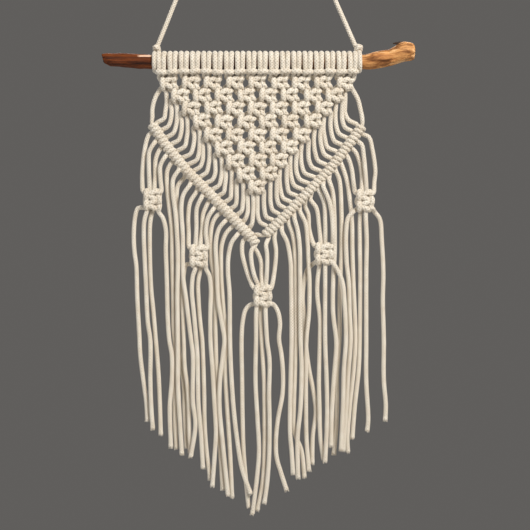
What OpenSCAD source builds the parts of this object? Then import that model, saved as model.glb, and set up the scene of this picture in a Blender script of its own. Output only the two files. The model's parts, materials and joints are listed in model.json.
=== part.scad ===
// Macrame wall hanging: knotted cotton cord on a driftwood branch that hangs from one cord.
// Millimetres. The origin is where the hook bears inside the hanging loop.
// +X is the viewer's right, +Y points at the wall, +Z is up.

/* [Cord] */
// Diameter of the cotton cord
cord_d = 4; // [3.6:0.1:4]
// Flats round a cord tube
cord_sides = 8; // [8:1:10]

/* [Branch] */
// Height of the hook above the branch's axis
hang_drop = 236; // [200:2:260]
// Radius of the branch where the cords are looped on
branch_r = 7.2; // [7:0.1:7.2]

/* [Net] */
// Number of cords looped over the branch
head_count = 18; // [18:1:18]
// Distance from one looped cord to the next
head_pitch = 11.2; // [11.2:0.1:11.6]
// Rows of knots in the pointed net
row_count = 9; // [9:1:9]
// Distance between the knots of one row
knot_pitch = 22; // [21:0.5:23]
// Distance from one row down to the next
row_pitch = 13; // [13:0.5:14]

/* [Hidden] */
cord_r = cord_d / 2;
wood = "sienna";
cotton = "cornsilk";
snug = 0.05;                    // running clearance of a loop on the branch
dome = 0.97;                    // a ball end's radius over its bar's, so that the two never lie tangent
lane = 2.2;                     // half the depth between strands that hang behind each other
fine = $preview ? 24 : 48;

// ---- Routes. Each point is [x, z], with z measured from the branch's axis. ----

// Core lines of the two slanting bands of hitches, from the top end to the tip
left_band = [[-100, -62], [-87, -82], [-65, -109], [-42, -132], [-18, -157], [0, -176], [4, -182]];
right_band = [[110, -64], [100, -78], [77, -108], [54, -132], [34, -153], [13, -173]];

// Middles of the gather knots
knot_a = [-100, -138];
knot_b = [-54, -194];
knot_c = [10, -234];
knot_d = [71, -192];
knot_e = [112, -139];

// Strands from a band down to a gather knot, as [number, points]
uppers_a = [
    [2, [[-103.5, -73], [-107, -84], [-109.5, -104], [-110, -118], [-107.5, -126.5]]],
    [3, [[-98, -82], [-102.5, -90], [-103, -104], [-102.5, -126.5]]],
    [4, [[-92.5, -87.5], [-96.5, -97], [-97, -114], [-97.5, -126.5]]],
    [5, [[-87, -95.5], [-91.5, -104], [-91.5, -116], [-92.5, -126.5]]]];
uppers_b = [
    [10, [[-56, -130], [-62, -140], [-64, -155], [-63.5, -171], [-61, -182.5]]],
    [11, [[-50.5, -136], [-55, -146], [-55.5, -166], [-56, -182.5]]],
    [12, [[-44.5, -141.5], [-49, -152], [-50, -166], [-51, -182.5]]],
    [13, [[-39.5, -148.5], [-44, -156], [-46, -171], [-46.5, -182.5]]]];
uppers_c = [
    [18, [[-9, -179], [-10, -190], [-6.5, -205], [-2.5, -217], [2.5, -222.5]]],
    [1, [[-0.5, -188.5], [-0.5, -200], [2.5, -214], [5.5, -222.5]]],
    [36, [[5.5, -190.5], [9, -200], [9.5, -212], [9.5, -222.5]]],
    [19, [[14, -183], [15, -192], [15, -206], [13.5, -222.5]]],
    [20, [[22.5, -176], [24, -188], [23, -205], [18, -222.5]]]];
uppers_d = [
    [25, [[53.5, -143.5], [56.5, -152], [57.5, -167], [63.5, -180.5]]],
    [26, [[58.5, -137], [64.5, -146], [67, -161], [68, -180.5]]],
    [27, [[67, -129], [72, -141.5], [73, -161], [73, -180.5]]],
    [28, [[71, -125], [77, -140], [80, -159], [80.5, -175], [78, -180.5]]]];
uppers_e = [
    [32, [[96, -96], [99.5, -107], [101.5, -122], [105, -127.5]]],
    [33, [[103.5, -89.5], [107.5, -99], [110, -114.5], [110, -127.5]]],
    [34, [[109.5, -83], [111.5, -94], [113.5, -114.5], [114.5, -127.5]]],
    [35, [[117, -75], [120.5, -87], [123.5, -109], [122.5, -120], [119.5, -127.5]]]];

// Free tails 1 to 36, numbered along the branch from the left, from the last knot or hitch to the cut end
tails = [
    [[4.5, -246.5], [4, -278], [3.5, -319], [5.5, -357], [7, -389], [5, -415], [0.5, -451]],
    [[-114, -146], [-117, -154], [-118.5, -170], [-118, -188], [-116, -204], [-115, -236],
        [-113, -273], [-112, -293], [-109, -318], [-106, -340], [-105, -358]],
    [[-105, -150], [-107.5, -159], [-108, -173], [-107, -200], [-106, -220], [-104, -260],
        [-101.5, -278], [-101.5, -318], [-100.5, -346], [-99, -366]],
    [[-100, -150], [-102, -160], [-102.5, -183], [-102, -208], [-101, -228], [-99, -248],
        [-96.5, -278], [-94, -308], [-92.5, -338], [-91.5, -372]],
    [[-93, -150], [-89, -156], [-86, -168], [-86, -188], [-85, -218], [-84, -258],
        [-82.5, -278], [-80, -293], [-80, -318], [-82, -343], [-81, -384]],
    [[-81, -101], [-85, -109], [-85, -125], [-83, -145], [-80.5, -168], [-80, -198],
        [-79, -238], [-78.5, -268], [-76.5, -288], [-77, -323], [-77.5, -348], [-76, -386]],
    [[-73, -108], [-78.5, -117], [-79, -130], [-76.5, -150], [-75, -170], [-74, -190],
        [-74, -210], [-74.5, -230], [-74, -288], [-74, -318], [-73, -340], [-70, -391]],
    [[-68, -115], [-74.5, -123], [-76, -135], [-76, -155], [-75, -188], [-75, -228],
        [-74.5, -268], [-73, -293], [-70.5, -310], [-68.5, -330], [-68, -350], [-66, -386]],
    [[-62, -123], [-68.5, -133], [-70.5, -145], [-69, -175], [-69, -200], [-68.5, -217],
        [-66, -235], [-63.5, -256], [-61, -276], [-59, -293], [-59, -338], [-56.5, -363], [-61, -394]],
    [[-66, -203], [-68.5, -212], [-70, -228], [-69.5, -253], [-68.5, -278], [-67.5, -305],
        [-65, -323], [-63.5, -343], [-63, -368], [-62, -390]],
    [[-56.5, -206.5], [-59, -214], [-60, -230], [-58.5, -246], [-56.5, -268], [-54.5, -293],
        [-54, -318], [-53.5, -341], [-51, -370], [-49, -405]],
    [[-51.5, -206.5], [-54, -220], [-53.5, -240], [-52, -260], [-50, -278], [-49, -298],
        [-48, -333], [-47.5, -363], [-45.5, -390], [-42, -417]],
    [[-46, -206.5], [-42.5, -214], [-41, -228], [-41.5, -246], [-41.5, -276], [-39.5, -306],
        [-37.5, -340], [-36, -370], [-37.5, -396], [-39.5, -423]],
    [[-35, -153.5], [-39.5, -161], [-41.5, -174], [-40.5, -200], [-38, -215], [-37, -240],
        [-36.5, -277], [-35.5, -306], [-33, -344], [-32, -383], [-29.5, -427]],
    [[-28.5, -161], [-33, -167], [-36, -179], [-35, -210], [-33.5, -240], [-30, -261],
        [-27.5, -277], [-29, -293], [-32, -319], [-32.5, -344], [-29, -383], [-24, -432]],
    [[-22.5, -167], [-27, -173], [-30.5, -184], [-31, -205], [-29.5, -235], [-27, -261],
        [-25.5, -277], [-27, -306], [-25, -344], [-22.5, -383], [-20, -435]],
    [[-16.5, -175], [-20.5, -181], [-23.5, -194], [-24, -210], [-22.5, -230], [-22, -277],
        [-21, -306], [-18.5, -344], [-15, -376], [-10, -406], [-1.5, -431]],
    [[-2, -243], [-6.5, -248], [-9.5, -261], [-10.5, -277], [-10, -319], [-9.5, -357],
        [-8.5, -389], [-6.5, -415], [-3.5, -445]],
    [[13.5, -246.5], [15, -278], [17.5, -298], [17, -332], [17.5, -357], [17, -395],
        [15, -421], [12.5, -440]],
    [[22, -243], [26, -250], [28, -261], [27, -277], [29.5, -293], [31, -313], [30.5, -332],
        [26, -357], [24, -376], [24.5, -395], [29, -411], [34.5, -428]],
    [[30, -169.5], [35, -180], [38.5, -200], [39, -220], [39.5, -277], [38.5, -319],
        [38, -370], [39.5, -389], [41, -411]],
    [[37, -162], [41, -174], [43, -194], [43.5, -220], [44, -277], [43, -313],
        [42, -344], [42.5, -370], [49.5, -389], [52.5, -415]],
    [[42.5, -157], [45.5, -168], [47.5, -184], [48, -210], [48.5, -277], [49.5, -306],
        [48.5, -344], [45.5, -376], [46, -415]],
    [[48, -149], [53.5, -161], [55.5, -179], [56.5, -200], [57.5, -220], [57, -251],
        [54.5, -277], [54, -306], [54, -344], [54.5, -376], [57, -408]],
    [[60, -203], [55.5, -208], [52.5, -220], [51, -235], [52.5, -256], [53.5, -277],
        [57, -306], [62, -332], [64, -351], [61, -376], [60.5, -402]],
    [[67.5, -204.5], [65.5, -220], [65.5, -235], [68, -256], [68, -277], [67, -319],
        [67.5, -344], [68.5, -376], [71.5, -397]],
    [[73, -204.5], [73, -220], [73, -277], [74.5, -319], [75, -344], [74.5, -370], [73, -399]],
    [[82, -203], [85, -208], [90, -220], [92, -240], [93.5, -277], [91.5, -306],
        [90.5, -344], [88.5, -386]],
    [[77, -118], [80.5, -130], [82, -149], [82.5, -189], [81, -220], [81, -251], [84, -277],
        [84, -287], [81.5, -319], [79.5, -357], [79, -383]],
    [[84, -109], [87.5, -118], [89.5, -149], [89.5, -189], [88, -230], [87.5, -277],
        [85, -313], [85, -344], [84, -370], [82, -392]],
    [[90, -103], [95, -118], [98, -138], [100, -159], [100.5, -189], [101.5, -220],
        [103.5, -277], [102, -306], [98, -344], [95.5, -376], [96, -390]],
    [[101, -150], [96, -156], [94, -169], [94.5, -200], [96.5, -220], [97.5, -251],
        [98.5, -277], [96, -313], [94, -344], [91, -388]],
    [[108.5, -151.5], [108, -179], [108.5, -210], [108, -277], [107, -306], [103, -344], [100.5, -376]],
    [[113.5, -151.5], [114.5, -179], [114, -210], [114, -277], [114, -319], [116, -357], [115, -368]],
    [[123, -150], [128, -157], [130, -179], [131.5, -210], [131, -240], [132, -277],
        [132, -318], [134, -343], [133.5, -358]],
    [[8.5, -246.5], [9.5, -278], [12, -319], [12.5, -357], [12.5, -383], [10.5, -421], [5.5, -448]]
];

// Depth of a strand: odd ones hang in front and even ones behind, the other way round on the right, and
// three that cross their neighbours lie outside them
function depth(i) = i == 8 || i == 25 ? 3 * lane : i == 28 ? -3 * lane
    : (i % 2 == 1) == (i < 31 || i > 35) ? -lane : lane;
function deepen(i, route) = [for (p = route) [p[0], depth(i), p[1]]];
function tail_name(i) = str("tail_", i < 10 ? "0" : "", i);

// ---- Cord tubes ----

// A point on the smooth curve through four route points, between the middle two
function between(a, b, c, d, t) =
    0.5 * (2 * b + (c - a) * t + (2 * a - 5 * b + 4 * c - d) * t ^ 2 + (3 * b - a - 3 * c + d) * t ^ 3);
// The route with one or more rings to each of its legs
function smooth(route, rings) = let (last = len(route) - 1) concat(
    [for (i = [0 : last - 1]) for (k = [0 : rings - 1])
        between(route[max(i - 1, 0)], route[i], route[i + 1], route[min(i + 2, last)], k / rings)],
    [route[last]]);
function unit(v) = v / norm(v);
// A ring of points round a centre, square to the way along
function ring(centre, along, r, sides) = let (u = unit(cross([0, 1, 0], along)), v = cross(along, u))
    [for (k = [0 : sides - 1]) let (a = 360 * (k + 0.5) / sides)
        centre + r * cos(a) * u + r * sin(a) * v];

// A closed skin over rings with these centres and radii
module skin(centres, radii, sides) {
    last = len(centres) - 1;
    points = [for (i = [0 : last]) each ring(centres[i],
        unit(centres[min(i + 1, last)] - centres[max(i - 1, 0)]), radii[i], sides)];
    walls = [for (i = [0 : last - 1]) for (k = [0 : sides - 1])
        let (a = i * sides + k, b = i * sides + (k + 1) % sides)
        each [[a, b + sides, b], [a, a + sides, b + sides]]];
    start = [for (k = [0 : sides - 1]) k];
    end = [for (k = [sides - 1 : -1 : 0]) last * sides + k];
    polyhedron(points, concat([start], walls, [end]), convexity = 10);
}

// A cord tube along a route of [x, y, z] points, with every other ring drawn in by the groove
module tube(route, r = cord_r, rings = 1, groove = 0) {
    line = smooth(route, rings);
    skin(line, [for (i = [0 : len(line) - 1]) r - groove * (i % 2)], cord_sides);
}

// ---- Round building blocks ----

// A round bar between two points, with ball ends
module bar(a, b, ra, rb) {
    along = b - a;
    length = norm(along);
    translate(a)
        rotate([0, acos(along[2] / length), atan2(along[1], along[0])])
            cylinder(h = length, r1 = ra, r2 = rb, $fn = fine);
    translate(a) sphere(r = dome * ra, $fn = fine);
    translate(b) sphere(r = dome * rb, $fn = fine);
}

// A loop of cord round the branch
module loop_on_branch(x, r) {
    translate([x, 0, 0]) rotate([0, 90, 0])
        rotate_extrude($fn = fine) translate([branch_r + snug + r, 0]) circle(r = r, $fn = 24);
}

// Puts a piece drawn round the branch's axis in its place below the hook
module hung() {
    translate([0, 0, -hang_drop]) children();
}

// ---- Branch ----

// Stations along the two crooked ends, as [x, z, radius], each starting inside the straight stretch
left_end = [[-98, 0, 6.9], [-104, 0, 7.1], [-128, 1.4, 6.9], [-140, 1.8, 6.3], [-147, 2.6, 5.2],
    [-149, 3, 4.2]];
right_end = [[112, 0, 6.9], [116, 0.3, 7.4], [123, 1.2, 8.2], [136, 4, 8.9], [147, 9.5, 10.4],
    [155, 11, 9.4], [161, 11, 8.4], [163.5, 10, 5]];

module crooked_end(stations) {
    skin([for (s = stations) [s[0], 0, s[1]]], [for (s = stations) s[2]], 20);
}

module branch() {
    color(wood) hung() {
        translate([-100, 0, 0]) rotate([0, 90, 0]) cylinder(h = 214, r = branch_r, $fn = fine);
        crooked_end(left_end);
        crooked_end(right_end);
    }
}

// ---- Hanger: one cord from the left wraps, over the hook, to the right wraps ----

leg_foot_z = 16;                // where the cord leaves its knots, above the branch's axis
bend_r = 8;                     // bend of the cord over the hook, at its middle
left_foot = [-94.5, 0, leg_foot_z - hang_drop];
right_foot = [103.5, 0, leg_foot_z - hang_drop];

// The way from the bend down to a foot, part by part
function leg(from, foot, steps) = [for (k = [1 : steps]) from + (foot - from) * k / steps];
left_bend = [-bend_r * cos(22), 0, cord_r - bend_r + bend_r * sin(22)];
right_bend = [bend_r * cos(23), 0, cord_r - bend_r + bend_r * sin(23)];

module hanger_cord() {
    over_hook = [for (a = [135, 112, 90, 68, 45])
        [bend_r * cos(a), 0, cord_r - bend_r + bend_r * sin(a)]];
    left_leg = leg(left_bend, left_foot, 8);
    right_leg = leg(right_bend, right_foot, 8);
    color(cotton) tube(concat([for (k = [7 : -1 : 0]) left_leg[k]], [left_bend], over_hook,
        [right_bend], right_leg));
}

module hanger_knot_left() {
    color(cotton) hung() {
        loop_on_branch(-97, cord_r);
        translate([-96.2, 0, 14.6]) sphere(r = 3.6, $fn = fine);
    }
}

module hanger_knot_right() {
    color(cotton) hung() {
        loop_on_branch(107.1, cord_r);
        loop_on_branch(111.3, cord_r);
        bar([104.8, 0, 16], [109.5, 0, 12.8], 3.4, 3.4);
    }
}

// ---- Lark's heads: folded cords looped over the branch ----

module larks_head(x) {
    wrap_r = 2.25;
    for (side = [-1, 1]) loop_on_branch(x + side * 2.5, wrap_r);
    translate([x, -7.5, -10.3]) bar([-3.2, 0, 0], [3.2, 0, 0], 2.1, 2.1);
}

module larks_heads() {
    color(cotton) hung() for (i = [0 : head_count - 1])
        larks_head((i - (head_count - 1) / 2) * head_pitch + 5);
}

// ---- Square knots of the pointed net ----

first_knot = [-84, -21];        // middle of the first knot of the top row
knot_half = 5.4;                // half the height of a knot

// A square knot as one plump solid of revolution about X, with a groove between its two passes
module square_knot() {
    half = 9.3;                 // half its width
    rotate([0, 90, 0]) rotate_extrude($fn = fine) polygon([
        [0, -half], [2.8, -half], [4.6, -half + 1.6], [5.4, -half + 4.6], [4.9, 0],
        [5.4, half - 4.6], [4.6, half - 1.6], [2.8, half], [0, half]]);
}

function knot_at(row, k) =
    first_knot + [(row - 1) * knot_pitch / 2 + k * knot_pitch, -(row - 1) * row_pitch];

module knot_row(row) {
    color(cotton) hung() for (k = [0 : row_count - row])
        translate([knot_at(row, k)[0], 0, knot_at(row, k)[1]]) square_knot();
}

// ---- Bands of double half hitches along the net's two lower edges ----

band_r = 4.7;                   // outside radius of a hitch
groove = 0.8;                   // depth of the groove between two wraps

// Height of a band's core at some x, on a route that runs one way in x
function core_z(band, x) = let (hits = [for (i = [0 : len(band) - 2])
        let (a = band[i], b = band[i + 1])
        if ((x - a[0]) * (x - b[0]) <= 0) a[1] + (b[1] - a[1]) * (x - a[0]) / (b[0] - a[0])])
    hits[0];
function to_space(p) = [p[0], 0, p[1]];

module band(route) {
    tube([for (p = route) to_space(p)], r = band_r, rings = 12, groove = groove);
}

module band_left() {
    color(cotton) hung() band(left_band);
}

module band_right() {
    color(cotton) hung() band(right_band);
}

// ---- Strands from the net's last knots down to the bands ----

// Above the band by enough to clear its slanting hitches
above_band = 9.4;

module edge_strand(side, n) {
    row = floor((n + 1) / 2);
    outer_knot = side < 0 ? knot_at(row, 0) : knot_at(row, row_count - row);
    band_route = side < 0 ? left_band : right_band;
    spread = n % 2 == 1 ? 7 : 2.4;
    foot_x = side < 0 ? -98.5 + (n - 1) * 5.9 : 109 - (n - 1) * 5.6;
    top = [outer_knot[0] + side * spread, 0, outer_knot[1] - knot_half - 0.4];
    foot = [foot_x, 0, core_z(band_route, foot_x) + above_band];
    along = foot - top;
    translate(top)
        rotate([0, acos(along[2] / norm(along)), atan2(along[1], along[0])])
            cylinder(h = norm(along), r = cord_r - 0.15, $fn = fine);
}

module edge_strands(side) {
    color(cotton) hung() for (n = [1 : 2 * row_count]) edge_strand(side, n);
}

// ---- Gather knots, each with the strands that come down to it ----

// Two square knots, one on the other
module gather_knot(at, strands) {
    color(cotton) hung() {
        for (side = [-1, 1])
            translate(to_space(at) + [0, 0, side * (knot_half + 0.05)]) square_knot();
        for (s = strands) tube(deepen(s[0], s[1]), rings = 2);
    }
}

// ---- Tails ----

module tail(i) {
    color(cotton) hung() tube(deepen(i, tails[i - 1]), rings = 2);
}

branch();
hanger_cord();
hanger_knot_left();
hanger_knot_right();
larks_heads();
for (row = [1 : row_count]) knot_row(row);
edge_strands(-1);  // edge_strands_left
edge_strands(1);  // edge_strands_right
band_left();
band_right();
gather_knot(knot_a, uppers_a);  // gather_knot_a
gather_knot(knot_b, uppers_b);  // gather_knot_b
gather_knot(knot_c, uppers_c);  // gather_knot_c
gather_knot(knot_d, uppers_d);  // gather_knot_d
gather_knot(knot_e, uppers_e);  // gather_knot_e
for (i = [1 : len(tails)]) tail(i);
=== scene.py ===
"""Macrame wall hanging: the visual model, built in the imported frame.
Shapes are worked out in millimetres from the branch's axis, and mesh() turns them into metres in the frame."""
import json
import math
import random

import bpy
import numpy as np
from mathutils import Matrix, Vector


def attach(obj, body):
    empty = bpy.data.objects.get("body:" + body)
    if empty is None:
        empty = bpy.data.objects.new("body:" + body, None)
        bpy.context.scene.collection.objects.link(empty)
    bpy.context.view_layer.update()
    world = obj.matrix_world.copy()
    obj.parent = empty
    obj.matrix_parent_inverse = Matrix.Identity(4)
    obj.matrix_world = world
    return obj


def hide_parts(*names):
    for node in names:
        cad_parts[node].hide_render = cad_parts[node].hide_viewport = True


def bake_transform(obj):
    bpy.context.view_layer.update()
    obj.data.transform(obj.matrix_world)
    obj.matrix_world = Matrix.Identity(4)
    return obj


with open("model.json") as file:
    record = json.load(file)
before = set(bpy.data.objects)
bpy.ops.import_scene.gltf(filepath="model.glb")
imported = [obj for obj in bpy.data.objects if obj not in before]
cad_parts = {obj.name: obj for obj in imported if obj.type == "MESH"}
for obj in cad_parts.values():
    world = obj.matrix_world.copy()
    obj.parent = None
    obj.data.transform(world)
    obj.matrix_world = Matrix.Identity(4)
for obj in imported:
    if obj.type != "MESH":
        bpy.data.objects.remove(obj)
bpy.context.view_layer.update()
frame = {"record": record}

joints = {j["name"]: j for j in frame["record"]["behaviour"]["joints"]}
AXIS_Z = joints["net_swing"]["pos_m"][2] * 1000      # height of the branch's axis
CORD_R = 2.2                                         # radius of the cotton cord, plait included
BRANCH_R = 7.2                                       # radius of the branch under the cords
LANE = 2.2                                           # half the depth between strands that hang in layers
PLAIT = 2.9                                          # length of one stitch of the braided cord
STEP = 0.7                                           # length of a segment of a cord's mesh
STRANDS = 36
random.seed(7)


# ---------------------------------------------------------------- camera

def make_camera():
    distance, view_width, sensor = 1.1, 0.53, 36
    data = bpy.data.cameras.new("camera")
    data.sensor_width = sensor
    data.lens = sensor * distance / view_width
    camera = bpy.data.objects.new("camera", data)
    camera.location = (0.013, -distance, AXIS_Z / 1000 - 0.203)
    camera.rotation_euler = (math.pi / 2, 0, 0)
    bpy.context.scene.collection.objects.link(camera)
    bpy.context.scene.camera = camera


make_camera()

# ---------------------------------------------------------------- routes, as in part.scad, [x, z] from the axis

LEFT_BAND = [[-100, -62], [-87, -82], [-65, -109], [-42, -132], [-18, -157], [0, -176], [4, -182]]
RIGHT_BAND = [[110, -64], [100, -78], [77, -108], [54, -132], [34, -153], [13, -173]]

GATHER_KNOTS = {"a": [-100, -138], "b": [-54, -194], "c": [10, -234], "d": [71, -192], "e": [112, -139]}

# Strands from a band down to a gather knot, by knot and strand
UPPERS = {
    "a": {
        2: [[-103.5, -73], [-107, -84], [-109.5, -104], [-110, -118], [-107.5, -126.5]],
        3: [[-98, -82], [-102.5, -90], [-103, -104], [-102.5, -126.5]],
        4: [[-92.5, -87.5], [-96.5, -97], [-97, -114], [-97.5, -126.5]],
        5: [[-87, -95.5], [-91.5, -104], [-91.5, -116], [-92.5, -126.5]]},
    "b": {
        10: [[-56, -130], [-62, -140], [-64, -155], [-63.5, -171], [-61, -182.5]],
        11: [[-50.5, -136], [-55, -146], [-55.5, -166], [-56, -182.5]],
        12: [[-44.5, -141.5], [-49, -152], [-50, -166], [-51, -182.5]],
        13: [[-39.5, -148.5], [-44, -156], [-46, -171], [-46.5, -182.5]]},
    "c": {
        18: [[-9, -179], [-10, -190], [-6.5, -205], [-2.5, -217], [2.5, -222.5]],
        1: [[-0.5, -188.5], [-0.5, -200], [2.5, -214], [5.5, -222.5]],
        36: [[5.5, -190.5], [9, -200], [9.5, -212], [9.5, -222.5]],
        19: [[14, -183], [15, -192], [15, -206], [13.5, -222.5]],
        20: [[22.5, -176], [24, -188], [23, -205], [18, -222.5]]},
    "d": {
        25: [[53.5, -143.5], [56.5, -152], [57.5, -167], [63.5, -180.5]],
        26: [[58.5, -137], [64.5, -146], [67, -161], [68, -180.5]],
        27: [[67, -129], [72, -141.5], [73, -161], [73, -180.5]],
        28: [[71, -125], [77, -140], [80, -159], [80.5, -175], [78, -180.5]]},
    "e": {
        32: [[96, -96], [99.5, -107], [101.5, -122], [105, -127.5]],
        33: [[103.5, -89.5], [107.5, -99], [110, -114.5], [110, -127.5]],
        34: [[109.5, -83], [111.5, -94], [113.5, -114.5], [114.5, -127.5]],
        35: [[117, -75], [120.5, -87], [123.5, -109], [122.5, -120], [119.5, -127.5]]},
}

# Free tails 1 to 36, from the last knot or hitch to the cut end
TAILS = [
    [[4.5, -246.5], [4, -278], [3.5, -319], [5.5, -357], [7, -389], [5, -415], [0.5, -451]],
    [[-114, -146], [-117, -154], [-118.5, -170], [-118, -188], [-116, -204], [-115, -236],
        [-113, -273], [-112, -293], [-109, -318], [-106, -340], [-105, -358]],
    [[-105, -150], [-107.5, -159], [-108, -173], [-107, -200], [-106, -220], [-104, -260],
        [-101.5, -278], [-101.5, -318], [-100.5, -346], [-99, -366]],
    [[-100, -150], [-102, -160], [-102.5, -183], [-102, -208], [-101, -228], [-99, -248],
        [-96.5, -278], [-94, -308], [-92.5, -338], [-91.5, -372]],
    [[-93, -150], [-89, -156], [-86, -168], [-86, -188], [-85, -218], [-84, -258],
        [-82.5, -278], [-80, -293], [-80, -318], [-82, -343], [-81, -384]],
    [[-81, -101], [-85, -109], [-85, -125], [-83, -145], [-80.5, -168], [-80, -198],
        [-79, -238], [-78.5, -268], [-76.5, -288], [-77, -323], [-77.5, -348], [-76, -386]],
    [[-73, -108], [-78.5, -117], [-79, -130], [-76.5, -150], [-75, -170], [-74, -190],
        [-74, -210], [-74.5, -230], [-74, -288], [-74, -318], [-73, -340], [-70, -391]],
    [[-68, -115], [-74.5, -123], [-76, -135], [-76, -155], [-75, -188], [-75, -228],
        [-74.5, -268], [-73, -293], [-70.5, -310], [-68.5, -330], [-68, -350], [-66, -386]],
    [[-62, -123], [-68.5, -133], [-70.5, -145], [-69, -175], [-69, -200], [-68.5, -217],
        [-66, -235], [-63.5, -256], [-61, -276], [-59, -293], [-59, -338], [-56.5, -363], [-61, -394]],
    [[-66, -203], [-68.5, -212], [-70, -228], [-69.5, -253], [-68.5, -278], [-67.5, -305],
        [-65, -323], [-63.5, -343], [-63, -368], [-62, -390]],
    [[-56.5, -206.5], [-59, -214], [-60, -230], [-58.5, -246], [-56.5, -268], [-54.5, -293],
        [-54, -318], [-53.5, -341], [-51, -370], [-49, -405]],
    [[-51.5, -206.5], [-54, -220], [-53.5, -240], [-52, -260], [-50, -278], [-49, -298],
        [-48, -333], [-47.5, -363], [-45.5, -390], [-42, -417]],
    [[-46, -206.5], [-42.5, -214], [-41, -228], [-41.5, -246], [-41.5, -276], [-39.5, -306],
        [-37.5, -340], [-36, -370], [-37.5, -396], [-39.5, -423]],
    [[-35, -153.5], [-39.5, -161], [-41.5, -174], [-40.5, -200], [-38, -215], [-37, -240],
        [-36.5, -277], [-35.5, -306], [-33, -344], [-32, -383], [-29.5, -427]],
    [[-28.5, -161], [-33, -167], [-36, -179], [-35, -210], [-33.5, -240], [-30, -261],
        [-27.5, -277], [-29, -293], [-32, -319], [-32.5, -344], [-29, -383], [-24, -432]],
    [[-22.5, -167], [-27, -173], [-30.5, -184], [-31, -205], [-29.5, -235], [-27, -261],
        [-25.5, -277], [-27, -306], [-25, -344], [-22.5, -383], [-20, -435]],
    [[-16.5, -175], [-20.5, -181], [-23.5, -194], [-24, -210], [-22.5, -230], [-22, -277],
        [-21, -306], [-18.5, -344], [-15, -376], [-10, -406], [-1.5, -431]],
    [[-2, -243], [-6.5, -248], [-9.5, -261], [-10.5, -277], [-10, -319], [-9.5, -357],
        [-8.5, -389], [-6.5, -415], [-3.5, -445]],
    [[13.5, -246.5], [15, -278], [17.5, -298], [17, -332], [17.5, -357], [17, -395],
        [15, -421], [12.5, -440]],
    [[22, -243], [26, -250], [28, -261], [27, -277], [29.5, -293], [31, -313], [30.5, -332],
        [26, -357], [24, -376], [24.5, -395], [29, -411], [34.5, -428]],
    [[30, -169.5], [35, -180], [38.5, -200], [39, -220], [39.5, -277], [38.5, -319],
        [38, -370], [39.5, -389], [41, -411]],
    [[37, -162], [41, -174], [43, -194], [43.5, -220], [44, -277], [43, -313],
        [42, -344], [42.5, -370], [49.5, -389], [52.5, -415]],
    [[42.5, -157], [45.5, -168], [47.5, -184], [48, -210], [48.5, -277], [49.5, -306],
        [48.5, -344], [45.5, -376], [46, -415]],
    [[48, -149], [53.5, -161], [55.5, -179], [56.5, -200], [57.5, -220], [57, -251],
        [54.5, -277], [54, -306], [54, -344], [54.5, -376], [57, -408]],
    [[60, -203], [55.5, -208], [52.5, -220], [51, -235], [52.5, -256], [53.5, -277],
        [57, -306], [62, -332], [64, -351], [61, -376], [60.5, -402]],
    [[67.5, -204.5], [65.5, -220], [65.5, -235], [68, -256], [68, -277], [67, -319],
        [67.5, -344], [68.5, -376], [71.5, -397]],
    [[73, -204.5], [73, -220], [73, -277], [74.5, -319], [75, -344], [74.5, -370], [73, -399]],
    [[82, -203], [85, -208], [90, -220], [92, -240], [93.5, -277], [91.5, -306],
        [90.5, -344], [88.5, -386]],
    [[77, -118], [80.5, -130], [82, -149], [82.5, -189], [81, -220], [81, -251], [84, -277],
        [84, -287], [81.5, -319], [79.5, -357], [79, -383]],
    [[84, -109], [87.5, -118], [89.5, -149], [89.5, -189], [88, -230], [87.5, -277],
        [85, -313], [85, -344], [84, -370], [82, -392]],
    [[90, -103], [95, -118], [98, -138], [100, -159], [100.5, -189], [101.5, -220],
        [103.5, -277], [102, -306], [98, -344], [95.5, -376], [96, -390]],
    [[101, -150], [96, -156], [94, -169], [94.5, -200], [96.5, -220], [97.5, -251],
        [98.5, -277], [96, -313], [94, -344], [91, -388]],
    [[108.5, -151.5], [108, -179], [108.5, -210], [108, -277], [107, -306], [103, -344], [100.5, -376]],
    [[113.5, -151.5], [114.5, -179], [114, -210], [114, -277], [114, -319], [116, -357], [115, -368]],
    [[123, -150], [128, -157], [130, -179], [131.5, -210], [131, -240], [132, -277],
        [132, -318], [134, -343], [133.5, -358]],
    [[8.5, -246.5], [9.5, -278], [12, -319], [12.5, -357], [12.5, -383], [10.5, -421], [5.5, -448]],
]


def depth(strand):
    """How far behind the net's middle a strand hangs; three that cross their neighbours lie outside them."""
    if strand in (8, 25):
        return 3 * LANE
    if strand == 28:
        return -3 * LANE
    return -LANE if (strand % 2 == 1) == (strand < 31 or strand > 35) else LANE


def deepen(strand, route):
    return [(x, depth(strand), z) for x, z in route]


# ---------------------------------------------------------------- curves

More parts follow.
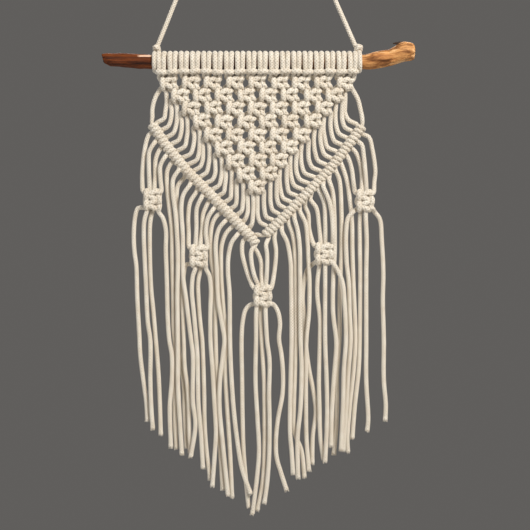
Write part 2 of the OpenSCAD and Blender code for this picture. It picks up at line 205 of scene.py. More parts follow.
def smooth_curve(points, step=STEP, parts=12):
    """The smooth curve through these points, in even steps, and how far along it each of them lies.
    The fourth number of each point is the cord's radius there."""
    p = np.array(points, float)
    p = np.vstack([2 * p[0] - p[1], p, 2 * p[-1] - p[-2]])
    knot = np.concatenate([[0], np.cumsum(np.sqrt(np.linalg.norm(np.diff(p[:, :3], axis=0), axis=1)) + 1e-6)])
    fine = []
    for i in range(1, len(p) - 2):
        t0, t1, t2, t3 = knot[i - 1:i + 3]
        t = np.linspace(t1, t2, parts, endpoint=False)[:, None]
        a1 = (t1 - t) / (t1 - t0) * p[i - 1] + (t - t0) / (t1 - t0) * p[i]
        a2 = (t2 - t) / (t2 - t1) * p[i] + (t - t1) / (t2 - t1) * p[i + 1]
        a3 = (t3 - t) / (t3 - t2) * p[i + 1] + (t - t2) / (t3 - t2) * p[i + 2]
        b1 = (t2 - t) / (t2 - t0) * a1 + (t - t0) / (t2 - t0) * a2
        b2 = (t3 - t) / (t3 - t1) * a2 + (t - t1) / (t3 - t1) * a3
        fine.append((t2 - t) / (t2 - t1) * b1 + (t - t1) / (t2 - t1) * b2)
    fine = np.vstack([*fine, p[-2]])
    way = np.concatenate([[0], np.cumsum(np.linalg.norm(np.diff(fine[:, :3], axis=0), axis=1))])
    at = np.linspace(0, way[-1], max(3, int(round(way[-1] / step)) + 1))
    line = np.column_stack([np.interp(at, way, fine[:, k]) for k in range(fine.shape[1])])
    return line, way[::parts]


def thick(points, radius=CORD_R):
    return [(*p, radius) for p in points]


def side_directions(line):
    """Two directions across the line at each of its points, carried along it without twist."""
    along = np.gradient(line, axis=0)
    along /= np.linalg.norm(along, axis=1)[:, None] + 1e-9
    start = np.cross(along[0], (0.0, 0.0, 1.0) if abs(along[0][2]) < 0.8 else (1.0, 0.0, 0.0))
    across = [start / np.linalg.norm(start)]
    for t in along[1:]:
        n = across[-1] - t * (across[-1] @ t)
        across.append(n / np.linalg.norm(n))
    across = np.array(across)
    return across, np.cross(along, across)


# ---------------------------------------------------------------- meshes

def mesh(name, points, faces, material, uv=None):
    """An object from points in millimetres round the branch's axis."""
    data = bpy.data.meshes.new(name)
    placed = (np.array(points, float) + (0, 0, AXIS_Z)) / 1000
    data.from_pydata(placed.tolist(), [], faces)
    data.polygons.foreach_set("use_smooth", [True] * len(data.polygons))
    if uv is not None:
        layer = data.uv_layers.new(name="cord")
        corner = np.zeros(len(data.loops), int)
        data.loops.foreach_get("vertex_index", corner)
        layer.data.foreach_set("uv", np.array(uv)[corner].ravel())
    data.materials.append(material)
    obj = bpy.data.objects.new(name, data)
    bpy.context.scene.collection.objects.link(obj)
    return obj


def tube_parts(line, sides=16, relief=0.1, offset=0):
    """Points, faces and UVs of a cord along a line of [x, y, z, radius]. Its relief is its plait."""
    radius, line = line[:, 3], line[:, :3]
    u, v = side_directions(line)
    way = np.concatenate([[0], np.cumsum(np.linalg.norm(np.diff(line, axis=0), axis=1))])
    angle = np.arange(sides) * 2 * math.pi / sides
    turn = 2 * math.pi * way[:, None] / PLAIT
    braid = np.maximum(np.cos(4 * angle[None] + turn), np.cos(4 * angle[None] - turn))
    r = radius[:, None] * (1 + relief * (braid - 0.6))
    rings = line[:, None] + r[..., None] * (np.cos(angle)[None, :, None] * u[:, None]
                                            + np.sin(angle)[None, :, None] * v[:, None])
    points = rings.reshape(-1, 3).tolist()
    count = len(line)
    faces = []
    for i in range(count - 1):
        a, b = offset + i * sides, offset + (i + 1) * sides
        faces += [(a + k, a + (k + 1) % sides, b + (k + 1) % sides, b + k) for k in range(sides)]
    uv = np.column_stack([np.tile(np.abs(angle / math.pi - 1), count), np.repeat(way / 1000, sides)]).tolist()
    for ring, centre, flip in ((0, line[0], True), (count - 1, line[-1], False)):
        middle = offset + len(points)
        points.append(centre.tolist())
        uv.append((0.5, way[ring] / 1000))
        base = offset + ring * sides
        for k in range(sides):
            pair = (base + k, base + (k + 1) % sides)
            faces.append((*(reversed(pair) if flip else pair), middle))
    return points, faces, uv


def lie_on_branch(points):
    """Presses whatever would be inside the branch out to its surface, as a cord tied on it flattens."""
    points = np.array(points)
    surface = BRANCH_R + 0.05
    reach = np.hypot(points[:, 1], points[:, 2])
    inside = reach < surface
    points[inside, 1:] *= (surface / reach[inside])[:, None]
    return points


def cord_object(name, pieces, **options):
    """One cotton object from one or more lines of cord."""
    points, faces, uv = [], [], []
    for line in pieces:
        more = tube_parts(line, offset=len(points), **options)
        points += more[0]
        faces += more[1]
        uv += more[2]
    obj = mesh(name, lie_on_branch(points), faces, cotton, uv)
    return obj


# ---------------------------------------------------------------- materials

def new_material(name):
    material = bpy.data.materials.new(name)
    material.use_nodes = True
    return material, material.node_tree, material.node_tree.nodes["Principled BSDF"]


def node(tree, kind, **values):
    made = tree.nodes.new(kind)
    for key, value in values.items():
        if key in made.inputs:
            made.inputs[key].default_value = value
        else:
            setattr(made, key, value)
    return made


def ramp(tree, factor, stops):
    made = tree.nodes.new("ShaderNodeValToRGB")
    elements = made.color_ramp.elements
    while len(elements) < len(stops):
        elements.new(0.5)
    for element, (at, colour) in zip(elements, stops):
        element.position = at
        element.color = (*colour, 1)
    tree.links.new(factor, made.inputs[0])
    return made


def multiply(tree, a, b):
    made = node(tree, "ShaderNodeMix", data_type="RGBA", blend_type="MULTIPLY")
    made.inputs["Factor"].default_value = 1.0
    tree.links.new(a, made.inputs["A"])
    tree.links.new(b, made.inputs["B"])
    return made.outputs["Result"]


def maths(tree, operation, a, b=None):
    made = node(tree, "ShaderNodeMath", operation=operation)
    for socket, value in zip(made.inputs, (a, b)):
        if isinstance(value, (int, float)):
            socket.default_value = value
        elif value is not None:
            tree.links.new(value, socket)
    return made.outputs[0]


def plait_height(tree, place):
    """Height of the plait's stitches, 0 to 1, where tube_parts puts them, from the cord's UVs."""
    uv = node(tree, "ShaderNodeSeparateXYZ")
    tree.links.new(place.outputs["UV"], uv.inputs[0])
    around = maths(tree, "MULTIPLY", uv.outputs["X"], 4 * math.pi)
    along = maths(tree, "MULTIPLY", uv.outputs["Y"], 2000 * math.pi / PLAIT)
    rising = maths(tree, "COSINE", maths(tree, "ADD", around, along))
    falling = maths(tree, "COSINE", maths(tree, "SUBTRACT", around, along))
    return maths(tree, "ADD", maths(tree, "MULTIPLY", maths(tree, "MAXIMUM", rising, falling), 0.5), 0.5)


def cotton_material():
    """Undyed braided cotton: a fine fibre bump, slightly uneven cream, and painted shade in the plait's
    grooves.
    """
    material, tree, shader = new_material("cotton")
    link = tree.links.new
    place = node(tree, "ShaderNodeTexCoord")
    fibre_scale = node(tree, "ShaderNodeMapping")
    fibre_scale.inputs["Scale"].default_value = (26, 1400, 1)
    link(place.outputs["UV"], fibre_scale.inputs["Vector"])
    fibre = node(tree, "ShaderNodeTexNoise", Scale=1.0, Detail=4.0, Roughness=0.6)
    link(fibre_scale.outputs[0], fibre.inputs["Vector"])
    fuzz = node(tree, "ShaderNodeTexNoise", Scale=1800.0, Detail=3.0, Roughness=0.7)
    link(place.outputs["Object"], fuzz.inputs["Vector"])
    patch = node(tree, "ShaderNodeTexNoise", Scale=90.0, Detail=2.0)
    link(place.outputs["Object"], patch.inputs["Vector"])
    tone = ramp(tree, patch.outputs["Fac"], [(0.3, (0.775, 0.70, 0.595)), (0.7, (0.865, 0.81, 0.72))])
    dust = ramp(tree, fibre.outputs["Fac"], [(0.3, (0.80, 0.78, 0.74)), (0.62, (1, 1, 1))])
    plait = plait_height(tree, place)
    # painted shade: the plait's grooves are darkened in the colour, where shade falls between its stitches
    painted_groove_shade = ramp(tree, plait, [(0.2, (0.68, 0.63, 0.55)), (0.7, (1, 1, 1))])
    colour = multiply(tree, multiply(tree, tone.outputs[0], dust.outputs[0]), painted_groove_shade.outputs[0])
    link(colour, shader.inputs["Base Color"])
    stitches = node(tree, "ShaderNodeBump", Strength=0.6, Distance=0.0005)
    link(plait, stitches.inputs["Height"])
    first = node(tree, "ShaderNodeBump", Strength=0.5, Distance=0.0004)
    link(fibre.outputs["Fac"], first.inputs["Height"])
    link(stitches.outputs[0], first.inputs["Normal"])
    second = node(tree, "ShaderNodeBump", Strength=0.35, Distance=0.0003)
    link(fuzz.outputs["Fac"], second.inputs["Height"])
    link(first.outputs[0], second.inputs["Normal"])
    link(second.outputs[0], shader.inputs["Normal"])
    shader.inputs["Roughness"].default_value = 0.9
    shader.inputs["Sheen Weight"].default_value = 0.25
    shader.inputs["Sheen Roughness"].default_value = 0.5
    shader.inputs["Specular IOR Level"].default_value = 0.2
    return material


def band_mask(tree, coordinate, middle, half):
    """1 within half of the middle, and down to 0 just outside."""
    away = maths(tree, "ABSOLUTE", maths(tree, "SUBTRACT", coordinate, middle))
    made = node(tree, "ShaderNodeMapRange")
    made.inputs["From Min"].default_value = half
    made.inputs["From Max"].default_value = half * 0.6
    tree.links.new(away, made.inputs["Value"])
    return made.outputs[0]


def bark_material():
    """The nearly black, weathered snag."""
    material, tree, shader = new_material("bark")
    place = node(tree, "ShaderNodeTexCoord")
    speckle = node(tree, "ShaderNodeTexNoise", Scale=700.0, Detail=5.0, Roughness=0.7)
    tree.links.new(place.outputs["Object"], speckle.inputs["Vector"])
    tone = ramp(tree, speckle.outputs["Fac"], [(0.35, (0.012, 0.007, 0.005)), (0.7, (0.07, 0.036, 0.02))])
    tree.links.new(tone.outputs[0], shader.inputs["Base Color"])
    bump = node(tree, "ShaderNodeBump", Strength=0.7, Distance=0.0005)
    tree.links.new(speckle.outputs["Fac"], bump.inputs["Height"])
    tree.links.new(bump.outputs[0], shader.inputs["Normal"])
    shader.inputs["Roughness"].default_value = 0.85
    return material


def driftwood_material():
    """Weathered wood: dark reddish brown at the left, tan at the right, streaked along the grain.
    A painted highlight, a pale streak, lies along the top of the front of its left end."""
    material, tree, shader = new_material("driftwood")
    link = tree.links.new
    place = node(tree, "ShaderNodeTexCoord")
    along = node(tree, "ShaderNodeMapping")
    along.inputs["Scale"].default_value = (14, 190, 190)
    link(place.outputs["Object"], along.inputs["Vector"])
    grain = node(tree, "ShaderNodeTexNoise", Scale=1.0, Detail=8.0, Roughness=0.65, Distortion=0.6)
    link(along.outputs[0], grain.inputs["Vector"])
    fine_scale = node(tree, "ShaderNodeMapping")
    fine_scale.inputs["Scale"].default_value = (60, 900, 900)
    link(place.outputs["Object"], fine_scale.inputs["Vector"])
    fine = node(tree, "ShaderNodeTexNoise", Scale=1.0, Detail=5.0, Roughness=0.7)
    link(fine_scale.outputs[0], fine.inputs["Vector"])
    dark = ramp(tree, grain.outputs["Fac"], [
        (0.34, (0.008, 0.002, 0.001)), (0.46, (0.07, 0.015, 0.002)), (0.57, (0.15, 0.034, 0.005)),
        (0.70, (0.28, 0.09, 0.024))])
    light = ramp(tree, grain.outputs["Fac"], [
        (0.32, (0.06, 0.018, 0.006)), (0.42, (0.40, 0.155, 0.045)), (0.54, (0.72, 0.36, 0.13)),
        (0.70, (0.85, 0.56, 0.30))])
    split = node(tree, "ShaderNodeSeparateXYZ")
    link(place.outputs["Object"], split.inputs[0])
    side = node(tree, "ShaderNodeMapRange")
    side.inputs["From Min"].default_value = 0.02
    side.inputs["From Max"].default_value = 0.125
    link(split.outputs["X"], side.inputs["Value"])
    patch_scale = node(tree, "ShaderNodeMapping")
    patch_scale.inputs["Scale"].default_value = (38, 150, 150)
    link(place.outputs["Object"], patch_scale.inputs["Vector"])
    patch = node(tree, "ShaderNodeTexNoise", Scale=1.0, Detail=4.0, Roughness=0.6)
    link(patch_scale.outputs[0], patch.inputs["Vector"])
    stains = ramp(tree, patch.outputs["Fac"], [(0.38, (0, 0, 0)), (0.52, (1, 1, 1))])
    share = maths(tree, "MULTIPLY", side.outputs[0], maths(tree, "ADD", maths(
        tree, "MULTIPLY", stains.outputs[0], 0.75), 0.25))
    colour = node(tree, "ShaderNodeMix", data_type="RGBA")
    link(share, colour.inputs["Factor"])
    link(dark.outputs[0], colour.inputs["A"])
    link(light.outputs[0], colour.inputs["B"])
    # painted highlight: a pale streak painted along the upper front of the branch's left end
    painted_highlight_mask = maths(tree, "MULTIPLY", band_mask(tree, split.outputs["X"], -0.106, 0.0085),
                 band_mask(tree, split.outputs["Z"], AXIS_Z / 1000 + 0.0052, 0.0014))
    painted_highlight_mask = maths(tree, "MULTIPLY", painted_highlight_mask, maths(tree, "LESS_THAN", split.outputs["Y"], 0.0))
    painted_highlight_mix = node(tree, "ShaderNodeMix", data_type="RGBA")
    painted_highlight_mix.inputs["B"].default_value = (0.80, 0.52, 0.36, 1)
    link(painted_highlight_mask, painted_highlight_mix.inputs["Factor"])
    link(colour.outputs["Result"], painted_highlight_mix.inputs["A"])
    link(painted_highlight_mix.outputs["Result"], shader.inputs["Base Color"])
    coarse_bump = node(tree, "ShaderNodeBump", Strength=0.7, Distance=0.0012)
    link(grain.outputs["Fac"], coarse_bump.inputs["Height"])
    fine_bump = node(tree, "ShaderNodeBump", Strength=0.5, Distance=0.0004)
    link(fine.outputs["Fac"], fine_bump.inputs["Height"])
    link(coarse_bump.outputs[0], fine_bump.inputs["Normal"])
    link(fine_bump.outputs[0], shader.inputs["Normal"])
    rough = node(tree, "ShaderNodeMapRange")
    rough.inputs["To Min"].default_value = 0.45
    rough.inputs["To Max"].default_value = 0.85
    link(grain.outputs["Fac"], rough.inputs["Value"])
    link(rough.outputs[0], shader.inputs["Roughness"])
    shader.inputs["Specular IOR Level"].default_value = 0.22
    return material


cotton = cotton_material()
driftwood = driftwood_material()
bark = bark_material()

# ---------------------------------------------------------------- knots as control points

HEADS = STRANDS // 2
HEAD_PITCH = 11.2
HEADS_MIDDLE = 5                                     # x of the middle of the row of lark's heads
BAR_Z = -11.2                                        # height of a lark's head's bar
HEAD_WRAP = BRANCH_R + 1.2                           # radius of a lark's head round the branch, lying flat
WRAP = BRANCH_R + 1.7                                # radius of the hanger's wraps


def larks_head(centre_x, side, drop, lean):
    """Half of a lark's head, from the middle of its bar, round the branch and down behind the bar."""
    bar_z = BAR_Z + drop
    end_z = bar_z + side * lean
    points = [(0, -9.9, bar_z, 2.6), (1.8, -9.7, end_z, 2.6), (3.5, -8.2, end_z, 2.5),
              (4.3, -5.2, bar_z + 0.6, 2.3), (4.1, -1.4, -10.4, 2.2)]
    for a in range(-72, 231, 28):                    # from under the branch, up its back and down its front
        turn = math.radians(a)
        x = 2.75 - 0.5 * max(0, (a - 120) / 110)     # the two halves close up in front
        points.append((x, HEAD_WRAP * math.cos(turn), HEAD_WRAP * math.sin(turn), 2.6 if a > 40 else 2.3))
    points += [(2.2, -6.2, -9.4, 2.3), (2.1, -4.4, -13.2, 2.2)]
    return [(centre_x + side * x, y, z, r) for x, y, z, r in points]


# Square knot, from top to bottom, by the place of the strand in it: across, depth, height and radius
KNOT = {
    "left": [(-7.6, 0.8, 5.0, 2.3), (-5.8, 0.9, 3.2, 2.2), (-3.6, -2.4, 1.2, 2.4), (-0.8, -4.8, 1.9, 2.7),
             (2.6, -4.5, 3.9, 2.7), (5.4, -1.0, 5.3, 2.3), (6.7, 1.2, 0.3, 2.1), (5.4, -1.0, -4.8, 2.3),
             (2.6, -4.5, -3.9, 2.7), (-0.8, -4.8, -2.0, 2.7), (-3.6, -2.4, -1.4, 2.4), (-5.8, 0.9, -3.2, 2.2),
             (-7.6, 0.8, -5.2, 2.3)],
    "filler": [(0, 0, 6.6, 2.2), (0, 0, 0, 1.9), (0, 0, -6.6, 2.2)],
    "right": [(8.0, -2.2, 4.4, 2.3), (6.6, -4.4, 3.0, 2.4), (4.3, -1.4, 0.9, 2.1), (2.4, 3.4, 2.2, 2.3),
              (-0.3, 4.2, 2.9, 2.4), (-2.8, 3.4, 4.0, 2.3), (-3.9, -0.6, 5.8, 2.3), (-4.4, -4.6, 3.7, 2.5),
              (-4.7, -5.8, 0, 2.8), (-4.4, -4.6, -3.7, 2.5), (-3.9, -0.6, -5.8, 2.3), (-2.8, 3.4, -4.0, 2.3),
              (-0.3, 4.2, -2.9, 2.4), (2.4, 3.4, -2.2, 2.3), (4.3, -1.4, -0.9, 2.1), (6.6, -4.4, -3.0, 2.4),
              (8.0, -2.2, -4.4, 2.3)],
}


def knot_points(place, shift, at, tilt, size=1.0):
    """A strand's points in a square knot whose middle is at, leaning by tilt radians."""
    c, s = math.cos(tilt) * size, math.sin(tilt) * size
    return [(at[0] + (x + shift) * c - z * s, y * size, at[1] + (x + shift) * s + z * c, r)
            for x, y, z, r in KNOT[place]]


ROWS = 9
KNOT_PITCH, ROW_PITCH = 22, 13
FIRST_KNOT = (-84, -21)                              # the leftmost knot of the top row
net_knots = {}                                       # (row, number) to middle, tilt and size
for row in range(1, ROWS + 1):
    for number in range(ROWS + 1 - row):
        net_knots[row, number] = (
            (FIRST_KNOT[0] + (row - 1) * KNOT_PITCH / 2 + number * KNOT_PITCH + random.uniform(-0.7, 0.7),
             FIRST_KNOT[1] - (row - 1) * ROW_PITCH + random.uniform(-0.7, 0.7)),
            math.radians(random.uniform(-8, 8)), random.uniform(1.04, 1.13))

# A knot's four strands from left to right: place, and how far off the middle it is shifted
PLACES = [("left", 0), ("filler", -2.0), ("filler", 2.0), ("right", 0)]


def rows_of(strand):
    """How many rows of knots a strand is tied in."""
    return (min(strand, STRANDS + 1 - strand) + 1) // 2


def net_points(strand):
    """A strand's points through the rows of the net that it is tied in."""
    points = []
    for row in range(1, rows_of(strand) + 1):
        first = 2 * (row - 1) + 1
        place, shift = PLACES[(strand - first) % 4]
        middle, tilt, size = net_knots[row, (strand - first) // 4]
        points += knot_points(place, shift, middle, tilt, size)
    return points


def spaced(route, count):
    """Places, directions and pitch of so many hitches, evenly along a band's route."""
    flat = np.array(route, float)
    way = np.concatenate([[0], np.cumsum(np.linalg.norm(np.diff(flat, axis=0), axis=1))])
    pitch = way[-1] / count
    found = []
    for k in range(count):
        s = (k + 0.5) * pitch
        here = np.array([np.interp(s, way, flat[:, j]) for j in (0, 1)])
        ahead = np.array([np.interp(min(s + 2, way[-1]), way, flat[:, j]) for j in (0, 1)])
        behind = np.array([np.interp(max(s - 2, 0), way, flat[:, j]) for j in (0, 1)])
        found.append((here, (ahead - behind) / np.linalg.norm(ahead - behind), pitch))
    return found


# Round the core: turn in degrees (0 on top, -90 behind, -270 in front), share of the pitch along, distance out
HITCH = [(-30, -0.36, 6.2), (-80, -0.34, 5.4), (-135, -0.33, 4.2), (-180, -0.31, 3.2), (-225, -0.29, 2.95),
         (-270, -0.25, 2.95), (-315, -0.2, 2.95), (-360, -0.14, 2.95), (-405, -0.06, 2.95), (-450, 0, 2.95),
         (-495, 0.06, 2.95), (-540, 0.13, 2.95), (-585, 0.19, 2.95), (-630, 0.24, 2.95), (-675, 0.29, 2.95),
         (-720, 0.33, 3.0), (-765, 0.35, 3.4), (-810, 0.33, 4.2), (-850, 0.25, 5.0)]


def hitch(place, radius=CORD_R):
    """A double half hitch round the band's core, in from above and out below, both behind it."""
    here, along, pitch = place
    up = np.array([-along[1], along[0]]) * (1 if along[0] > 0 else -1)
    points = []
    for turn, share, out in HITCH:
        a = math.radians(turn)
        flat = here + along * share * pitch + up * out * math.cos(a)
        points.append((flat[0], -out * math.sin(a), flat[1], radius))
    return points


left_places = spaced(LEFT_BAND, 18)                  # strands 2 to 18, then 36
right_places = spaced(RIGHT_BAND, 17)                # strands 35 down to 19
places = {n: left_places[n - 2] for n in range(2, 19)}
places[36] = left_places[17]
places.update({36 - k: right_places[k - 1] for k in range(1, 18)})

# Where a strand is on its way to its hitch: shares of the way down and across
STRAIGHT = ((0.34, -0.03), (0.66, 0.03), (0.88, 0.28))
LEANING = ((0.25, 0.55), (0.55, 0.9), (0.8, 1.03))

CORE_R = 1.8                                         # the strand a band is tied on, squeezed by its hitches
LEFT_HITCH_R = 2.35                                  # the left band's hitches are fuller than the right's


def hang_to(start, end, bow):
    """A strand from a knot to its hitch, hanging nearly straight or leaning out early."""
    x, z = end[0] - start[0], end[2] - start[2]
    return [(start[0] + across * x + random.uniform(-0.6, 0.6), start[1] * 0.4 + end[1] * 0.2,
             start[2] + down * z, CORD_R) for down, across in bow]


def gather_points(knot, strand):
    """A strand's points down through a gather knot, which is two square knots, widened and pulled tight."""
    at = GATHER_KNOTS[knot]
    order = list(UPPERS[knot])
    k = order.index(strand)
    place = "left" if k == 0 else "right" if k == len(order) - 1 else "filler"
    apart = 4.0 if len(order) == 4 else 3.3
    shift = (k - (len(order) - 1) / 2) * apart if place == "filler" else 0
    upper = knot_points(place, shift, (at[0], at[1] + 5.4), 0)
    lower = knot_points(place, shift, (at[0], at[1] - 5.6), 0)
    points = upper[:2] + lower[1:2] if place == "filler" else upper[:-1] + lower[1:-1]
    wide, high = 1.17, 0.87
    return [(at[0] + (x - at[0]) * wide, y, at[1] + (z - at[1]) * high, r) for x, y, z, r in points]


head_slack = [(random.uniform(-0.5, 0.5), random.uniform(-0.4, 0.4)) for _ in range(HEADS)]
gather_of = {s: knot for knot, strands in UPPERS.items() for s in strands}


def strand_line(strand):
    """The whole strand as one smooth line, and where its net, gathered and free stretches end."""
    head = (strand - 1) // 2
    side = -1 if strand % 2 else 1
    drop, lean = head_slack[head]
    centre_x = (head - (HEADS - 1) / 2) * HEAD_PITCH + HEADS_MIDDLE
    points = larks_head(centre_x, side, drop, lean) + net_points(strand)
    if strand == 1:
        band = [(x, 0, z, CORE_R) for x, z in LEFT_BAND]
    elif strand == 36:
        band = [(x, 0, z, CORE_R) for x, z in RIGHT_BAND] + hitch(places[36])
    else:
        band = hitch(places[strand], LEFT_HITCH_R if strand < 19 else CORD_R)
    points += hang_to(points[-1], band[0], LEANING if strand in (1, 36) else STRAIGHT) + band
    net_end = len(points) - 1
    if strand in gather_of:
        knot = gather_of[strand]
        points += thick(deepen(strand, UPPERS[knot][strand][:-1])) + gather_points(knot, strand)
        gather_end = len(points)
    else:
        gather_end = net_end
    points += thick(deepen(strand, TAILS[strand - 1]))
    line, at = smooth_curve(points)
    way = np.linspace(0, at[-1], len(line))
    return line, int(np.searchsorted(way, at[net_end])), int(np.searchsorted(way, at[gather_end]))


lines = {n: strand_line(n) for n in range(1, STRANDS + 1)}

# ---------------------------------------------------------------- pieces of cord


def fringe_of(strand):
    if strand in (1, 36, 18, 19, 20):
        return "tip_tassel"
    return "left_fringe" if strand < 18 else "right_fringe"


def bend_off_net(obj):
    """Bakes into its mesh the placement of a piece that starts on the net and ends in the strand's fringe."""
    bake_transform(obj)


def make_knotted_cords():
    """The 18 folded cords from band to band, each through its lark's head and the net."""
    for head in range(HEADS):
        left, right = 2 * head + 1, 2 * head + 2
        a, b = (lines[n][0][:lines[n][1] + 2] for n in (left, right))
        obj = cord_object(f"knotted_cord_{head + 1:02d}", [np.vstack([a[::-1], b[1:]])])
        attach(obj, "net")
        rows = max(rows_of(n) for n in (left, right))
        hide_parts("larks_heads", *[f"knot_row_{r}" for r in range(1, rows + 1)])
        sides = sorted({"left" if n <= STRANDS // 2 else "right" for n in (left, right)})
        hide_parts(*[f"{part}_{side}" for part in ("edge_strands", "band") for side in sides])


def make_gathered_strands():
    """The 21 strands from the bands down through the gather knots."""
    for strand, knot in gather_of.items():
        line, start, end = lines[strand]
        obj = cord_object(f"gathered_strand_{strand:02d}", [line[start:end + 2]])
        bend_off_net(obj)
        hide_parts(f"gather_knot_{knot}")


def frayed_end(line):
    """Loose yarns at a cut end, as lines with their radii."""
    line = line[-6:, :3]
    along = line[-1] - line[0]
    along /= np.linalg.norm(along)
    u, v = side_directions(line)
    u, v = u[-1], v[-1]
    yarns, count, inside = [], 16, 3                 # each yarn starts this far inside the cord
    for k in range(count):
        a = 2 * math.pi * (k + random.random() * 0.8) / count
        inner = CORD_R * random.uniform(0.35, 0.95)
        out = u * math.cos(a) + v * math.sin(a)
        reach, spread = random.uniform(0.7, 2.4), random.uniform(0.1, 0.7)
        base = line[-1] - along * inside + out * inner
        points = [base, base + along * inside, base + along * (inside + reach * 0.55) + out * spread * 0.5,
                  base + along * (inside + reach) + out * spread]
        yarns.append(smooth_curve([(*p, r) for p, r in zip(points, (0.5, 0.5, 0.4, 0.28))], 0.9)[0])
    return yarns


def make_tails():
    """The 36 free tails, each with the loose yarns of its cut end."""
    for strand in range(1, STRANDS + 1):
        line, _, gather_end = lines[strand]
        tail = line[gather_end:].copy()
        to_end = np.arange(len(tail))[::-1] * STEP
        tail[:, 3] *= 1 + 0.1 * np.clip(1 - to_end / 4, 0, 1)        # the cut end swells a little
        obj = cord_object(f"tail_cord_{strand:02d}", [tail])
        tuft = cord_object(f"tail_end_{strand:02d}", frayed_end(tail), sides=6, relief=0.0)
        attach(tuft, fringe_of(strand))
        if strand in gather_of:
            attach(obj, fringe_of(strand))
        else:
            bend_off_net(obj)
        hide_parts(f"tail_{strand:02d}")


# ---------------------------------------------------------------- hanger

HANG = -AXIS_Z                                       # the hook's height over the branch's axis
BEND_R = 8                                           # radius of the cord's bend over the hook
LEFT_FOOT, RIGHT_FOOT = (-94.5, 0, 16), (103.5, 0, 16)


def make_hanger():
    """One cord up over the hook, and its wrap round the branch and its knot at either end."""
    over = [(BEND_R * math.cos(math.radians(a)), 0, HANG + CORD_R - BEND_R + BEND_R * math.sin(math.radians(a)))
            for a in range(158, 15, -22)]
    up = [tuple(np.array(LEFT_FOOT) + (np.array(over[0]) - LEFT_FOOT) * t) for t in (0, 0.25, 0.5, 0.75)]
    down = [tuple(np.array(over[-1]) + (np.array(RIGHT_FOOT) - over[-1]) * t) for t in (0.25, 0.5, 0.75, 1)]
    line, _ = smooth_curve(thick(up + over + down))
    cord = cord_object("hanger_cord_plaited", [line])
    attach(cord, "hanger")
    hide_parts("hanger_cord")

    def wrap(x, pitch, first, last):
        """Once round the branch from its top over its front, moving along by pitch."""
        turns = [(k / 12, 2 * math.pi * k / 12) for k in range(1, 12)]
        return [first] + [(x + pitch * t, -WRAP * math.sin(a), WRAP * math.cos(a)) for t, a in turns] + [last]

    def overhand(x, z, hand):
        """A small overhand knot that holds the wrap; hand is -1 for the left one."""
        loop = [(-3.6, 0.8, -2.8), (-2.6, -2.6, -0.8), (1.2, -3.4, 1.4), (3.2, -0.4, 1.6), (1.8, 2.8, 0.4),
                (-1.6, 2.6, -1.0), (-2.8, -0.4, 1.6), (-0.4, -2.8, 2.8), (2.4, -1.6, 0.2), (2.6, 1.6, -2.4)]
        return [(x + 0.66 * a * hand, 0.8 * b, z + 0.72 * c) for a, b, c in loop]

    left = thick([(-94.7, 0, 18)] + overhand(-95.4, 13.4, -1)
                 + wrap(-97.2, 0, (-97, 2.0, 9.4), (-97.4, -0.5, 9.0)), 2.1)
    right = thick([(104.0, 0, 18)] + overhand(106.7, 13.6, 1)
                  + wrap(107.2, 0.5, (106.8, -1.5, 9.6), (107.8, 0.5, 9.0)), 2.15)
    for name, knot in (("left", left), ("right", right)):
        obj = cord_object(f"hanger_knot_{name}_cord", [smooth_curve(knot)[0]])
        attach(obj, "hanger")
        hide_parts(f"hanger_knot_{name}")


# ---------------------------------------------------------------- branch

# Stations along the branch: x, height of the middle, radius
BRANCH = [(-148.5, 3.2, 4.7), (-146, 2.8, 5.4), (-142, 1.9, 6.4), (-135, 1.7, 6.8), (-128, 1.5, 6.9),
          (-118, 0.8, 7.1), (-104, 0.2, 7.15), (-96, 0, BRANCH_R), (0, 0, BRANCH_R), (112, 0, BRANCH_R),
          (117, 0.4, 7.8), (123, 1.2, 8.4), (130, 2.6, 8.5), (136, 4.0, 8.4), (142, 6.4, 8.8), (147, 8.9, 9.8),
          (153, 10.4, 9.8), (158, 10.6, 9.2), (161.5, 10.4, 7.6)]
UNDER_CORDS = (-104, 114)                            # the stretch where the branch may not pass BRANCH_R


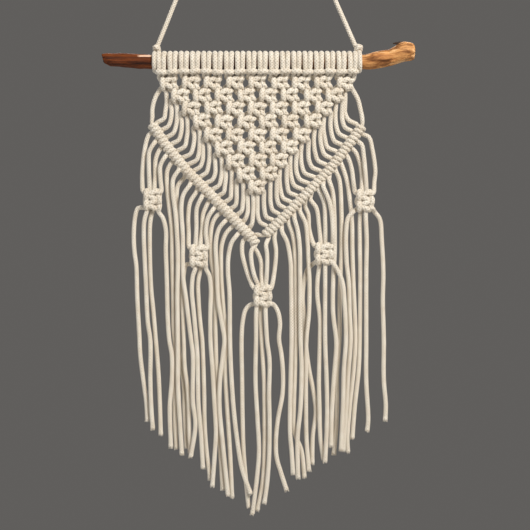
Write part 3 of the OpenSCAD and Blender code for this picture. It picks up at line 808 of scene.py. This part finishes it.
def make_branch():
    """The driftwood, rough where it is bare, with its broken ends and its snag."""
    stations = np.array(BRANCH, float)
    xs = np.arange(stations[0, 0], stations[-1, 0] + 0.1, 1.2)
    sides = 96
    angle = np.arange(sides) * 2 * math.pi / sides
    rng = np.random.default_rng(11)

    def rough(count_x, count_a, size):
        """Smooth random bumps over the branch, from a coarse grid that closes round it."""
        grid = rng.normal(size=(count_x + 2, count_a))
        gx = (xs - xs[0]) / (xs[-1] - xs[0]) * count_x
        ga = angle / (2 * math.pi) * count_a
        ix, ia = gx.astype(int), ga.astype(int)
        fx, fa = (gx - ix)[:, None], (ga - ia)[None]
        fx, fa = fx * fx * (3 - 2 * fx), fa * fa * (3 - 2 * fa)
        ib = (ia + 1) % count_a
        low = grid[ix][:, ia] * (1 - fa) + grid[ix][:, ib] * fa
        high = grid[ix + 1][:, ia] * (1 - fa) + grid[ix + 1][:, ib] * fa
        return size * (low * (1 - fx) + high * fx)

    bare = np.clip(np.maximum(-103 - xs, xs - 114) / 8, 0, 1)[:, None]
    relief = (rough(26, 5, 0.34) + rough(60, 12, 0.16)) * bare + rough(40, 26, 0.10) * (0.35 + 0.65 * bare)
    relief -= np.maximum(rough(30, 30, 0.36) - 0.30, 0) * (0.4 + 0.6 * bare)     # hollows
    radius = np.interp(xs, stations[:, 0], stations[:, 2])[:, None] + relief
    middle = np.interp(xs, stations[:, 0], stations[:, 1])
    y = radius * np.cos(angle)[None]
    z = middle[:, None] + radius * np.sin(angle)[None]
    under = (xs > UNDER_CORDS[0]) & (xs < UNDER_CORDS[1])
    shrink = np.minimum(1, (BRANCH_R - 0.02) / np.maximum(np.hypot(y, z), 1e-6))
    y[under] *= shrink[under]
    z[under] *= shrink[under]
    x = np.repeat(xs[:, None], sides, axis=1)
    left = np.clip((-141 - xs) / 7, 0, 1)[:, None]
    x = x + left * (-0.28 * (z - middle[:, None]) + rough(40, 22, 0.48))         # the slanting cut end
    right = np.clip((xs - 150) / 11, 0, 1)[:, None]
    x = x + right * rough(40, 18, 0.64)
    points = np.stack([x, y, z], axis=-1).reshape(-1, 3).tolist()
    faces = []
    for i in range(len(xs) - 1):
        a, b = i * sides, (i + 1) * sides
        faces += [(a + k, b + k, b + (k + 1) % sides, a + (k + 1) % sides) for k in range(sides)]

    def end_face(ring, bulge, steps=6):
        """A broken end: rings that shrink to the middle, roughened."""
        base = ring * sides
        outline = np.array(points[base:base + sides])
        centre = outline.mean(axis=0)
        previous = base
        for s in range(1, steps):
            t = 1 - s / steps
            inner = centre + (outline - centre) * t
            inner[:, 0] += bulge * (1 - t * t) + rng.normal(size=sides) * 0.16
            start = len(points)
            points.extend(inner.tolist())
            for k in range(sides):
                quad = (previous + k, previous + (k + 1) % sides, start + (k + 1) % sides, start + k)
                faces.append(quad if bulge <= 0 else tuple(reversed(quad)))
            previous = start
        middle_point = len(points)
        points.append((centre + (bulge, 0, 0)).tolist())
        for k in range(sides):
            tri = (previous + k, previous + (k + 1) % sides, middle_point)
            faces.append(tri if bulge <= 0 else tuple(reversed(tri)))

    end_face(0, -0.3)
    end_face(len(xs) - 1, 1.6)
    obj = mesh("driftwood_branch", points, faces, driftwood)
    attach(obj, "branch")
    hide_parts("branch")

    # The dark broken snag on the knob
    twig, _ = smooth_curve([(151, -1, 17.5, 2.6), (147.5, -1.3, 18.4, 2.0), (144, -1.5, 18.5, 1.2),
                            (140.6, -1.5, 18.2, 0.4)], 0.6)
    twig_points, twig_faces, _ = tube_parts(twig, sides=14, relief=0.0)
    snag = mesh("branch_snag", twig_points, twig_faces, bark)
    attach(snag, "branch")


make_knotted_cords()
make_gathered_strands()
make_tails()
make_hanger()
make_branch()

# ---------------------------------------------------------------- stage


def make_stage():
    floor = bpy.data.meshes.new("floor")
    radius, height, sides = 1.5, -1.1, 96
    turns = [2 * math.pi * k / sides for k in range(sides)]
    floor.from_pydata([(radius * math.cos(a), radius * math.sin(a), height) for a in turns], [], [range(sides)])
    material, _, shader = new_material("floor")
    shader.inputs["Base Color"].default_value = (0.62, 0.61, 0.59, 1)
    shader.inputs["Roughness"].default_value = 0.8
    floor.materials.append(material)
    obj = bpy.data.objects.new("floor", floor)
    bpy.context.scene.collection.objects.link(obj)
    world = bpy.data.worlds.new("world")
    world.use_nodes = True
    world.node_tree.nodes["Background"].inputs["Color"].default_value = (0.118, 0.113, 0.108, 1)
    world.node_tree.nodes["Background"].inputs["Strength"].default_value = 1.0
    bpy.context.scene.world = world
    bpy.context.scene.view_settings.view_transform = "Standard"


def make_light(name, place, target, size, power, colour):
    data = bpy.data.lights.new(name, "AREA")
    data.size, data.energy, data.color = size, power, colour
    light = bpy.data.objects.new(name, data)
    light.location = place
    light.rotation_mode = "QUATERNION"
    light.rotation_quaternion = (Vector(target) - Vector(place)).to_track_quat("-Z", "Y")
    bpy.context.scene.collection.objects.link(light)


make_stage()
CENTRE = (0.01, 0, AXIS_Z / 1000 - 0.2)              # what the lights point at, in metres
make_light("key", (0.9, -1.4, 0.7), CENTRE, 0.6, 46, (1, 0.97, 0.92))
make_light("fill", (-1.3, -1.1, -0.2), CENTRE, 1.2, 9, (0.93, 0.96, 1))
make_light("back", (0.2, 1.5, 0.6), CENTRE, 1.2, 26, (1, 0.99, 0.97))
